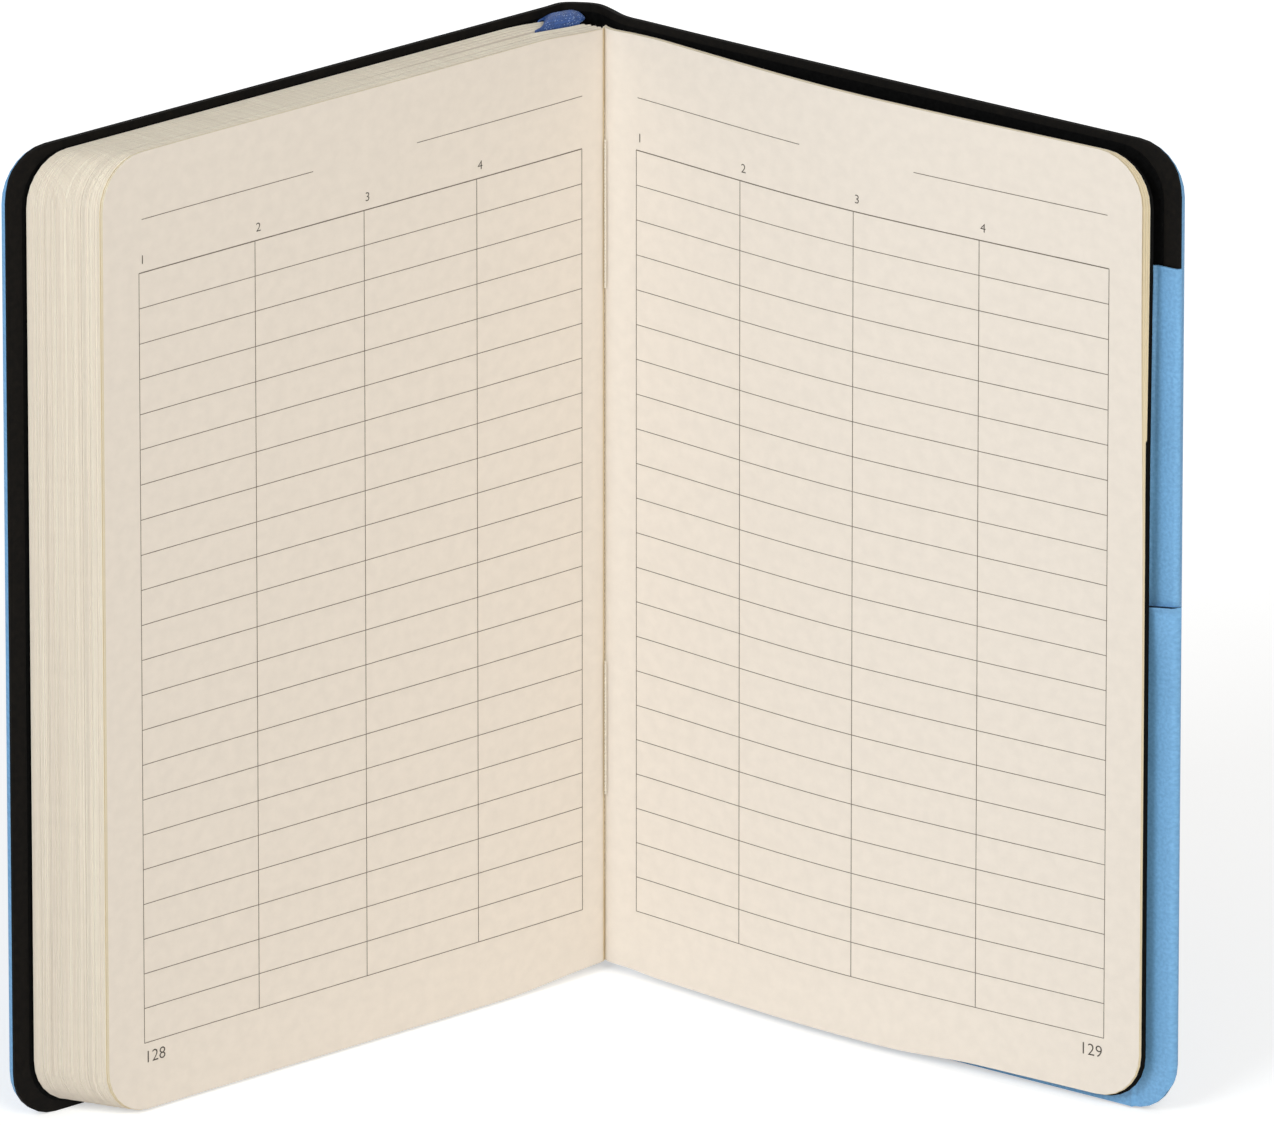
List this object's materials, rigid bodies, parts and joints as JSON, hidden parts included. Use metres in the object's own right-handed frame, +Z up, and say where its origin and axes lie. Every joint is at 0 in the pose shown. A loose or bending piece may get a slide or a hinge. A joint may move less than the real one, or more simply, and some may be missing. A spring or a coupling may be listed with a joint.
{
  "type": "lined notebook",
  "caption": "Soft-cover sewn notebook with ruled pages, standing open, with two pockets inside the back cover and a ribbon bookmark.",
  "frame": {"origin": "under the middle of the open notebook, on the surface that it stands on", "axes": "+X to the right along the width of the open notebook, +Y away from the reader, +Z up along the spine"},
  "size_m": [0.2052, 0.0806, 0.1803],
  "materials": {
    "blue_leatherette": "satin blue imitation leather, fine grain",
    "black_board": "raw-edged black flexible board",
    "black_endpaper": "matt black endpaper",
    "blue_pocket": "satin blue imitation leather",
    "cream_paper": "uncoated cream paper, printed with thin grey rules",
    "gauze": "open woven cotton gauze, glued",
    "linen_thread": "waxed linen thread",
    "blue_ribbon": "woven satin ribbon"
  },
  "bodies": {
    "text_block": {"spine_skin": "blue_leatherette", "spine_backing": "black_board", "spine_mull": "gauze", "section_1": "cream_paper", "section_2": "cream_paper", "section_3": "cream_paper", "section_4": "cream_paper", "section_5": "cream_paper", "section_6": "cream_paper", "section_7": "cream_paper", "section_8": "cream_paper", "last_section_left": "cream_paper", "right_leaf_root": "cream_paper", "rear_leaves_root": "cream_paper", "stitch_1": "linen_thread", "stitch_2": "linen_thread", "ribbon_bookmark": "blue_ribbon"},
    "front_cover": {"front_skin": "blue_leatherette", "front_board": "black_board", "front_pastedown": "black_endpaper"},
    "back_cover": {"back_skin": "blue_leatherette", "back_board": "black_board", "back_pastedown": "black_endpaper", "tall_pocket": "blue_pocket", "card_pocket": "blue_pocket", "right_leaf": "cream_paper", "rear_leaves": "cream_paper"}
  },
  "joints": [
    {"name": "front_cover_hinge", "type": "hinge", "parent": "text_block", "child": "front_cover", "pos_m": [-0.01192, 0.03521, 0], "axis": [0, 0, -1], "range_deg": [0, 175]},
    {"name": "back_cover_hinge", "type": "hinge", "parent": "text_block", "child": "back_cover", "pos_m": [0.00903, 0.03054, 0], "axis": [0, 0, -1], "range_deg": [-73, 104.5], "deforming": ["right_leaf_root", "rear_leaves_root"]}
  ]
}
